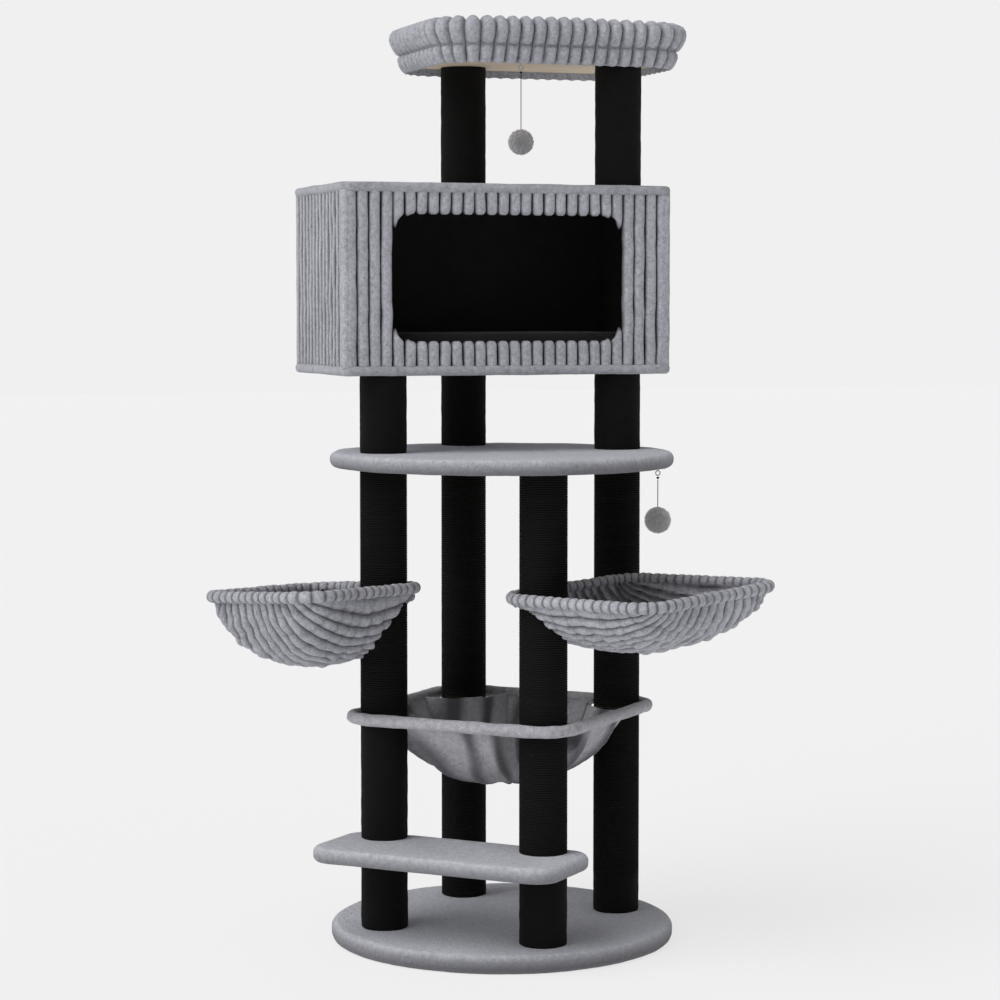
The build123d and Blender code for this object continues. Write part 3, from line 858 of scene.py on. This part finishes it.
def outlineAt(width, depth, corner, centre, length):
    # the point and outward direction at a length along a rounded rectangle
    halfW, halfD = width / 2 - corner, depth / 2 - corner
    arc = corner * pi / 2
    runs = (2 * halfD, arc, 2 * halfW, arc, 2 * halfD, arc, 2 * halfW, arc)
    corners = [(halfW, -halfD), (halfW, halfD), (-halfW, halfD), (-halfW, -halfD)]
    for index, size in enumerate(runs):
        if length <= size or index == len(runs) - 1:
            side = index // 2
            nx, ny = corners[(side + 1) % 4]
            if index % 2 == 0:
                cx, cy = corners[side]
                share = length / size
                angle = side * pi / 2
                spot = (cx + (nx - cx) * share, cy + (ny - cy) * share)
            else:
                angle = side * pi / 2 + (length / size) * pi / 2
                spot = (nx, ny)
            out = Vector((cos(angle), sin(angle), 0))
            return Vector((centre[0] + spot[0], centre[1] + spot[1], 0)) + out * corner, out
        length -= size


def perchBolster():
    node = "perch_bolster"
    lowest, highest, centre = low(node), high(node), middle(node)
    width, depth, corner = perch["width"], perch["depth"], perch["corner"]
    girth = 2 * (width + depth - 4 * corner) + 2 * pi * corner
    perPuff = perch["perPuff"]
    samples = round(girth / perch["pitch"]) * perPuff
    seam = lowest.z + perch["seam"]
    boardTop = high("perch_board").z + perch["overBoard"]
    section = [(out, lowest.z + rise, show) for out, rise, show in perch["skirt"]]
    section += [(out, seam + rise, show) for out, rise, show in perch["outside"]]
    section += [(out, highest.z - fall, show) for out, fall, show in perch["inside"]]
    section += [(out, boardTop + rise, show) for out, rise, show in perch["foot"]]
    normals = []
    for k in range(len(section)):
        before, after = section[k - 1], section[(k + 1) % len(section)]
        along = Vector((after[0] - before[0], after[1] - before[1]))
        normals.append(Vector((along.y, -along.x)).normalized())
    points, crest = [], []
    for s in range(samples):
        spot, out = outlineAt(width, depth, corner, centre, girth * s / samples)
        number, phase = s // perPuff, (s % perPuff) / perPuff
        lift = perch["lift"] * (1 - abs(out.x) ** 8) * max(0, 1 - abs(spot.x - centre.x) / (width / 2))
        for k, (outward, height, show) in enumerate(section):
            lean = 0.045 * drift((number * 0.37, k * 0.05, 0), 3.1, 2)
            puff = abs(sin(pi * ((phase + lean * show) % 1))) ** 0.55
            size = perch["puff"] * show * (1 + 0.18 * drift((number * 1.3, k * 0.2, 1), 1.7, 5))
            push = (puff - 1) * size
            p = spot + out * (outward + normals[k].x * push) + Vector((0, 0, height + normals[k].y * push))
            if height > seam + 0.02:
                p.z += lift
            p += out * 0.0006 * drift(p, 130, 3)
            points.append(p)
            # painted shade: darker between the puffs, and at most half bright along the seam's crease
            tone = puff ** 0.7 if show > 0.3 else 1.0
            crest.append(min(tone, 0.5) if 0.3 < show < 0.36 else tone)
    piece = meshPiece("perchPuffs", points, ringFaces(samples, len(section), True), "ribbedPlush", crest)
    return settle(piece, "root", "ribbed_grey_plush", node)


perchBolster()
print("perch bolster quilted")


cushion = {
    "voxel": 0.006, "pressure": 3.5, "frames": 14, "quality": 4, "cap": 0.009, "seat": 0.003, "crown": 0.003,
    "insets": (0.02, 0.004, 0, 0, 0, 0.005, 0.02, 0.05, 0.08), "ripple": 0.0012,
}


def fillWithCloth(slab, lowest, highest, start):
    # an even mesh of the slab swells under cloth pressure, and no point moves further than the cap
    remesh = slab.modifiers.new("even", "REMESH")
    remesh.mode = "VOXEL"
    remesh.voxel_size = cushion["voxel"]
    mesh = bpy.data.meshes.new_from_object(slab.evaluated_get(bpy.context.evaluated_depsgraph_get()))
    slab.modifiers.clear()
    slab.data = mesh
    rest = [v.co.copy() for v in mesh.vertices]
    group = slab.vertex_groups.new(name="seat")
    group.add([v.index for v in mesh.vertices if v.co.z < start + cushion["seat"]], 1.0, "REPLACE")
    cloth = slab.modifiers.new("fill", "CLOTH")
    cloth.settings.quality = cushion["quality"]
    cloth.settings.use_pressure = True
    cloth.settings.uniform_pressure_force = cushion["pressure"]
    cloth.settings.effector_weights.gravity = 0
    cloth.settings.vertex_group_mass = "seat"
    cloth.point_cache.frame_start = 1
    cloth.point_cache.frame_end = cushion["frames"]
    for number in range(1, cushion["frames"] + 1):
        scene.frame_set(number)
    puffed = bpy.data.meshes.new_from_object(slab.evaluated_get(bpy.context.evaluated_depsgraph_get()))
    slab.modifiers.clear()
    for vertex, home in zip(puffed.vertices, rest):
        move = vertex.co - home
        if move.length > cushion["cap"]:
            vertex.co = home + move.normalized() * cushion["cap"]
        vertex.co.z = min(max(vertex.co.z, lowest.z), highest.z + cushion["crown"])
    slab.data = puffed
    scene.frame_set(1)


def puffedPad(name, node, shrink, corner, finish, slotName):
    # a pad made from a slab slightly smaller than its CAD place
    lowest, highest, centre = low(node), high(node), middle(node)
    width, depth = highest.x - lowest.x - 2 * shrink, highest.y - lowest.y - 2 * shrink
    start, stop = lowest.z, highest.z - shrink * 0.7
    heights = (start, start, start + 0.004, (start + stop) / 2, stop - 0.005, stop, stop, stop, stop)
    rings = [roundedRing(width - 2 * inset, depth - 2 * inset, max(corner - inset, 0.01), centre, height)
             for inset, height in zip(cushion["insets"], heights)]
    slab = stackPiece(name, rings, finish, 0.0)
    fillWithCloth(slab, lowest, highest, start)
    for vertex in slab.data.vertices:
        vertex.co.z += cushion["ripple"] * drift(vertex.co, 12, 6) * (vertex.co.z > start + 0.01)
    slab.data.materials.clear()
    slab.data.materials.append(finishes[finish])
    slab.data.polygons.foreach_set("use_smooth", [True] * len(slab.data.polygons))
    smoother = slab.modifiers.new("soften", "SUBSURF")
    smoother.levels = smoother.render_levels = 1
    return settle(slab, "root", slotName, node)


puffedPad("perchPad", "perch_pad", 0.002, 0.036, "greyPlush", "pale_grey_plush")
puffedPad("houseMat", "house_mat", 0.006, 0.024, "blackMat", "black_lining")
print("pads filled")


# seen from above, each frame's corners are relative to its post's axis, or to the tree's for the centre one
hammocks = {
    "centre": {"corners": [(-0.2157, 0), (0, -0.2157), (0.2157, 0), (0, 0.2157)], "pivot": None,
               "slope": (0, 0), "rim": 0.0105, "gather": 0.02, "deep": 0.122, "roundness": 0.88, "ribs": 0,
               "grid": 150, "posts": posts, "slotted": True, "stackedAcross": False, "body": "root",
               "finish": "foldedPlush", "slot": "grey_plush"},
    "left": {"corners": [(0, 0), (-0.078, 0.1429), (-0.2366, 0.0491), (-0.1589, -0.1095)],
             "pivot": "left_post", "slope": (0.0202, -0.066), "rim": 0.0100, "gather": 0.0175, "deep": 0.122,
             "roundness": 0.60, "ribs": 17, "grid": 190, "posts": ["left_post"], "slotted": False,
             "stackedAcross": False, "body": "left_hammock", "finish": "ribbedPlush",
             "slot": "ribbed_grey_plush"},
    "right": {"corners": [(0, 0), (0.102, -0.2006), (0.3234, -0.0681), (0.2067, 0.1052)],
              "pivot": "front_post", "slope": (0.040, 0.0), "rim": 0.0100, "gather": 0.0175, "deep": 0.092,
              "roundness": 0.60, "ribs": 19, "grid": 190, "posts": ["front_post"], "slotted": False,
              "stackedAcross": True, "body": "right_hammock", "finish": "ribbedPlush",
              "slot": "ribbed_grey_plush"},
}
hammockMake = {
    "turn": 0.054, "hole": 0.0446, "cornerShare": 0.16, "rimSides": 18, "rowsPerGather": 10, "plainRows": 360,
    "girthSteps": 400, "meanSteps": 64, "ribHeight": 0.0115, "ribRest": 0.6, "clothThickness": 0.0035,
    "foldDepth": 0.0110, "flatFoldDepth": 0.0012, "folds": 15, "tuckHalfWidth": 0.085, "tuckInside": 0.0492,
    "tuckRise": 0.0405,
}


def loopPoint(corners, turn, share):
    # a point on the loop: each quarter is half a corner, one side and half the next corner
    count = len(corners)
    share = share % 1 * count
    index = int(share) % count
    t = share - int(share)
    a, b = Vector(corners[index]), Vector(corners[(index + 1) % count])
    before, after = Vector(corners[index - 1]), Vector(corners[(index + 2) % count])

    def side(p, q):
        along = (q - p).normalized()
        return Vector((along.y, -along.x))
    here, last, following = side(a, b), side(before, a), side(b, after)
    startMid, endMid = (last + here).normalized(), (here + following).normalized()
    edge = hammockMake["cornerShare"]
    if t < edge:
        out = startMid.lerp(here, t / edge).normalized()
        return a + out * turn, out
    if t > 1 - edge:
        out = here.lerp(endMid, (t - 1 + edge) / edge).normalized()
        return b + out * turn, out
    along = (t - edge) / (1 - 2 * edge)
    return a.lerp(b, along) + here * turn, here


def middleOfCorners(facts):
    return sum((Vector(c) for c in facts["corners"]), Vector((0, 0))) / len(facts["corners"])


def meanReach(facts):
    # the loop's mean distance from its middle
    steps = hammockMake["meanSteps"]
    spots = [loopPoint(facts["corners"], hammockMake["turn"], k / steps)[0] for k in range(steps)]
    return sum((spot - middleOfCorners(facts)).length for spot in spots) / steps * 0.97


def hammockPlace(node, facts):
    # the origin and tilt that turn the loop's flat coordinates into the place that the frame has
    if facts["pivot"]:
        axis = middle(facts["pivot"] + "_tubes")
        origin = Vector((axis.x, axis.y, middle(node + "_clamps").z))
    else:
        origin = Vector((0, 0, middle(node + "_rim").z))
    slope = facts["slope"]
    return origin, Matrix.Rotation(slope[1], 3, "X") @ Matrix.Rotation(-slope[0], 3, "Y")


def hammockRim(name, facts):
    node = name + "_hammock"
    origin, tilt = hammockPlace(node, facts)
    steps, turn = hammockMake["girthSteps"], hammockMake["turn"]
    spots = [loopPoint(facts["corners"], turn, k / steps)[0] for k in range(steps + 1)]
    girth = sum((after - before).length for before, after in zip(spots, spots[1:]))
    ribbed = facts["ribs"] > 0
    gathers = round(girth / facts["gather"])
    rows = gathers * hammockMake["rowsPerGather"] if ribbed else hammockMake["plainRows"]
    around = hammockMake["rimSides"]
    points, crest = [], []
    for r in range(rows):
        share = r / rows
        spot, out = loopPoint(facts["corners"], turn, share)
        lap = Vector((cos(2 * pi * share), sin(2 * pi * share), 0)) * 6
        phase = share * gathers + 0.18 * drift(lap, 1.0, 3)
        pinch = abs(sin(pi * phase)) ** 0.6 if ribbed else 1
        bulge = 1 + 0.12 * drift(lap, 1.6, 6)
        for k in range(around):
            angle = 2 * pi * k / around
            radius = facts["rim"] * bulge
            if ribbed:
                radius *= 0.80 + 0.24 * pinch
            else:
                crease = drift((share * 60, angle * 0.6, 0), 1.0, 4)
                radius *= 1 + 0.07 * crease + 0.05 * drift((share * 22, angle, 3), 1, 2)
            reach = radius * cos(angle)
            points.append(origin + tilt @ Vector((spot.x + out.x * reach, spot.y + out.y * reach,
                                                  radius * sin(angle))))
            # painted shade: darker where the rim is pinched into gathers
            crest.append(pinch)
    piece = meshPiece(name + "HammockRim", points, ringFaces(rows, around, True), facts["finish"], crest)
    return settle(piece, facts["body"], facts["slot"], node + "_rim")


def tuckedEdge(edge, holes):
    # beside each post the cloth's edge leaves the rim and passes inside the post
    for hole in holes:
        outward = hole.normalized()
        away = edge - hole
        along = away.dot(outward)
        across = away - outward * along
        beside = across.length / hammockMake["tuckHalfWidth"]
        limit = -hammockMake["tuckInside"] + hammockMake["tuckRise"] * beside ** 2
        if beside < 1 and along > limit:
            return hole + across + outward * limit
    return edge


def sheetSpot(facts, centre, reach, holes, a, b):
    # the square sheet laid on the round of the pouch without a crease along its diagonals
    x, y = a * sqrt(1 - b * b / 2), b * sqrt(1 - a * a / 2)
    size = min(1.0, hypot(x, y))
    if size < 1e-6:
        return centre.copy(), size
    inset = hammockMake["turn"] - facts["rim"] * 0.55
    edge, _ = loopPoint(facts["corners"], inset, (atan2(y, x) + pi / 4) / (2 * pi) + 0.25)
    if facts["slotted"]:
        edge = tuckedEdge(edge, holes)
    rim = edge - centre
    around = rim.normalized() * (rim.length * 0.6 + 0.4 * reach)
    return centre + (around * (1 - size ** 1.5) + rim * size ** 1.5) * size ** 0.88, size


def foldAt(spot, centre, size):
    # a plain pouch's folds, which run outwards from its middle
    angle = atan2(spot.y - centre.y, spot.x - centre.x)
    swirl = angle * hammockMake["folds"] + 3.4 * size + 5 * drift((cos(angle), sin(angle), size), 1.4, 1)
    loose = drift((cos(angle) * 3, sin(angle) * 3, size * 1.5), 1.6, 2)
    return 0.8 * sin(swirl) + 0.25 * sin(2 * swirl + 1.3) + 0.6 * loose


def puffAt(facts, point, across, along):
    # a channel's fullness; towards the sides the channels are gathered into short pillows
    rise = asin(0.93 * across) / asin(0.93)
    wave = 0.35 * drift((point.x, point.y, 0), 16, 2)
    puff = abs(sin(pi * ((rise + 1) / 2 * facts["ribs"] + wave))) ** 0.6
    gathered = 0.35 * min(1, max(0, (abs(across) - 0.25) / 0.2))
    pillow = abs(sin(pi * (4.5 * (along + 1) + 2 * wave))) ** 0.5
    return puff * (1 - gathered * (1 - pillow))


def pushOutOfHoles(points, holes, clear):
    for p in points:
        for hole in holes:
            away = Vector((p.x - hole.x, p.y - hole.y))
            if away.length < clear:
                away = away.normalized() * clear if away.length > 1e-9 else Vector((clear, 0))
                p.x, p.y = hole.x + away.x, hole.y + away.y


def sheetFaces(points, grid, holes, clear):
    # the sheet's quads, without those that a hole has swallowed
    faces = []
    for i in range(grid):
        for j in range(grid):
            k = i * (grid + 1) + j
            quad = (k, k + grid + 1, k + grid + 2, k + 1)
            if not all(any(abs((points[q].xy - hole).length - clear) < 1e-6 for hole in holes) for q in quad):
                faces.append(quad)
    return faces


def sheetNormals(points, faces):
    # each point's downward normal
    work = bmesh.new()
    verts = [work.verts.new(p) for p in points]
    for quad in faces:
        work.faces.new([verts[q] for q in quad])
    work.normal_update()
    normals = [v.normal.copy() if v.link_faces else Vector((0, 0, -1)) for v in verts]
    work.free()
    return [-normal if normal.z > 0 else normal for normal in normals]


def hammockPouch(name, facts):
    # a square of cloth, its edge on the rim; with ribs they run one way, so they meet at the corners
    node = name + "_hammock"
    origin, tilt = hammockPlace(node, facts)
    grid, clear, ribbed = facts["grid"], hammockMake["hole"], facts["ribs"] > 0
    centre, reach = middleOfCorners(facts), meanReach(facts)
    axes = [middle(post + "_tubes") for post in facts["posts"]]
    holes = [Vector((axis.x - origin.x, axis.y - origin.y)) for axis in axes]
    steps = [(2 * i / grid - 1, 2 * j / grid - 1) for i in range(grid + 1) for j in range(grid + 1)]
    flat, crest = [], []
    for a, b in steps:
        spot, size = sheetSpot(facts, centre, reach, holes, a, b)
        drop = -facts["deep"] * (1 - size ** 2.1) ** facts["roundness"]
        if not ribbed:
            fold = foldAt(spot, centre, size)
            deepness = hammockMake["foldDepth"] * size * (1 - size ** 8) + hammockMake["flatFoldDepth"]
            drop += deepness * fold
            # painted shade: darker in the folds' hollows
            crest.append(0.55 + 0.6 * fold)
            spot = spot + (spot - centre) * 0.02 * (1 - size ** 4) * drift((spot.x, spot.y, 0), 18, 8)
        flat.append(Vector((spot.x, spot.y, drop)))
    pushOutOfHoles(flat, holes, clear)
    faces = sheetFaces(flat, grid, holes, clear)
    moved = []
    for (a, b), point, normal in zip(steps, flat, sheetNormals(flat, faces)):
        if ribbed:
            across, along = (b, a) if facts["stackedAcross"] else (a, b)
            puff = puffAt(facts, point, across, along)
            squeeze = 1 + 0.40 * drift(point, 48, 5)
            fade = min(1, (1 - max(abs(a), abs(b))) / 0.05)
            height = hammockMake["ribHeight"] * (0.35 + 0.65 * fade)
            push = (puff * squeeze - hammockMake["ribRest"]) * height
            # painted shade: darker between the channels
            crest.append(puff ** 1.3)
        else:
            push = 0.0008 * drift(point, 90, 3)
        moved.append(origin + tilt @ (point + normal * push))
    used = sorted({q for quad in faces for q in quad})
    number = {q: n for n, q in enumerate(used)}
    faces = [tuple(number[q] for q in quad) for quad in faces]
    piece = meshPiece(name + "HammockPouch", [moved[q] for q in used], faces, facts["finish"],
                      [crest[q] for q in used])
    thick = piece.modifiers.new("cloth", "SOLIDIFY")
    thick.thickness = hammockMake["clothThickness"]
    thick.offset = 0
    return settle(piece, facts["body"], facts["slot"], node + "_pouch")


for name, facts in hammocks.items():
    hammockRim(name, facts)
    hammockPouch(name, facts)
print("hammocks hung")


toys = {
    "tufts": 1500, "tuftLength": 0.0052, "tuftWidth": 0.0011, "tuftTip": 0.0003, "tuftSides": 5,
    "leastTuft": 0.75, "mostTuft": 1.15, "core": 0.0178, "coreDetail": 4, "knotSize": 0.000936,
    "knotSteps": 24, "cord": 0.0015, "seeds": {"upper_toy": 7, "lower_toy": 11},
}


def tuftTree():
    # short tufts that stand out from a ball, scattered with a fixed seed
    tree, enter, leave = newTree("pompomTufts", "GeometryNodeTree", [
        ("Geometry", "Geometry", None), ("Core Radius", "Float", 0.0178), ("Density", "Float", 300000.0),
        ("Tuft Length", "Float", 0.005), ("Tuft Width", "Float", 0.001), ("Seed", "Int", 7),
        ("Finish", "Material", None),
    ], [("Geometry", "Geometry")])
    nodes = addNodes(tree, ball="GeometryNodeMeshIcoSphere", scatter="GeometryNodeDistributePointsOnFaces",
                     cone="GeometryNodeMeshCone", scaleSize="FunctionNodeRandomValue",
                     place="GeometryNodeInstanceOnPoints", join="GeometryNodeJoinGeometry",
                     realize="GeometryNodeRealizeInstances", paint="GeometryNodeSetMaterial")
    nodes.update(enter=enter, leave=leave)
    setInputs(nodes["ball"], Subdivisions=toys["coreDetail"])
    setInputs(nodes["cone"], Vertices=toys["tuftSides"], Radius_Top=toys["tuftTip"])
    nodes["scaleSize"].data_type = "FLOAT"
    nodes["scaleSize"].inputs[2].default_value = toys["leastTuft"]
    nodes["scaleSize"].inputs[3].default_value = toys["mostTuft"]
    wire(tree, nodes, [
        ("enter", "Core Radius", "ball", "Radius"), ("ball", "Mesh", "scatter", "Mesh"),
        ("enter", "Density", "scatter", "Density"), ("enter", "Seed", "scatter", "Seed"),
        ("enter", "Seed", "scaleSize", "Seed"), ("enter", "Tuft Width", "cone", "Radius Bottom"),
        ("enter", "Tuft Length", "cone", "Depth"), ("scatter", "Points", "place", "Points"),
        ("scatter", "Rotation", "place", "Rotation"), ("cone", "Mesh", "place", "Instance"),
        ("scaleSize", 1, "place", "Scale"), ("ball", "Mesh", "join", 0), ("place", "Instances", "join", 0),
        ("join", 0, "realize", 0), ("realize", 0, "paint", "Geometry"),
        ("enter", "Finish", "paint", "Material"), ("paint", 0, "leave", 0),
    ])
    return tree


def makePompom(toy, label, tree):
    node = toy + "_pompom"
    lowest, centre = low(node), middle(node)
    centre.z = lowest.z + (high(node).x - lowest.x) / 2
    core = toys["core"]
    mesh = bakeNodes(node, tree, {"Core Radius": core, "Density": toys["tufts"] / (4 * pi * core ** 2),
                                  "Tuft Length": toys["tuftLength"], "Tuft Width": toys["tuftWidth"],
                                  "Seed": toys["seeds"][toy], "Finish": finishes["pompomPlush"]}, centre)
    piece = joinMeshes(label + "Pompom", [mesh], "pompomPlush")
    piece.data.polygons.foreach_set("use_smooth", [True] * len(piece.data.polygons))
    return settle(piece, toy, "pompom_plush", node)


def curvePiece(name, route, radius, cyclic, finish):
    curve = bpy.data.curves.new(name, "CURVE")
    curve.dimensions = "3D"
    curve.bevel_depth = radius
    curve.bevel_resolution = 3
    curve.use_fill_caps = True
    line = curve.splines.new("NURBS")
    line.points.add(len(route) - 1)
    for spot, p in zip(line.points, route):
        spot.co = (*p, 1)
    line.use_cyclic_u = cyclic
    line.order_u = 3
    line.use_endpoint_u = not cyclic
    line.resolution_u = 8
    curve.materials.append(finishes[finish])
    obj = bpy.data.objects.new(name, curve)
    scene.collection.objects.link(obj)
    return obj


def makeCord(toy, label):
    bottom, top = low(toy + "_cord"), high(toy + "_cord")
    x, y = (bottom.x + top.x) / 2, (bottom.y + top.y) / 2
    route = [Vector((x, y, top.z)), Vector((x, y, bottom.z))]
    line = curvePiece(label + "ToyCord", route, toys["cord"] / 2, False, "blackCord")
    settle(line, toy, "black_cord", toy + "_cord")


def makeKnot(toy, label):
    # a trefoil knot
    centre = middle(toy + "_knot")
    size = toys["knotSize"]
    loops = []
    for k in range(toys["knotSteps"]):
        angle = 2 * pi * k / toys["knotSteps"]
        loops.append(centre + Vector((size * (sin(angle) + 2 * sin(2 * angle)) * 0.7,
                                      -size * sin(3 * angle) * 1.1,
                                      size * (cos(angle) - 2 * cos(2 * angle)) * 0.7)))
    knot = curvePiece(label + "ToyKnot", loops, toys["cord"] / 2, True, "blackCord")
    settle(knot, toy + "_knot", "black_cord", toy + "_knot")


tufts = tuftTree()
for toy in toys["seeds"]:
    label = toy.split("_")[0]
    makePompom(toy, label, tufts)
    makeCord(toy, label)
    makeKnot(toy, label)
print("toys hung")
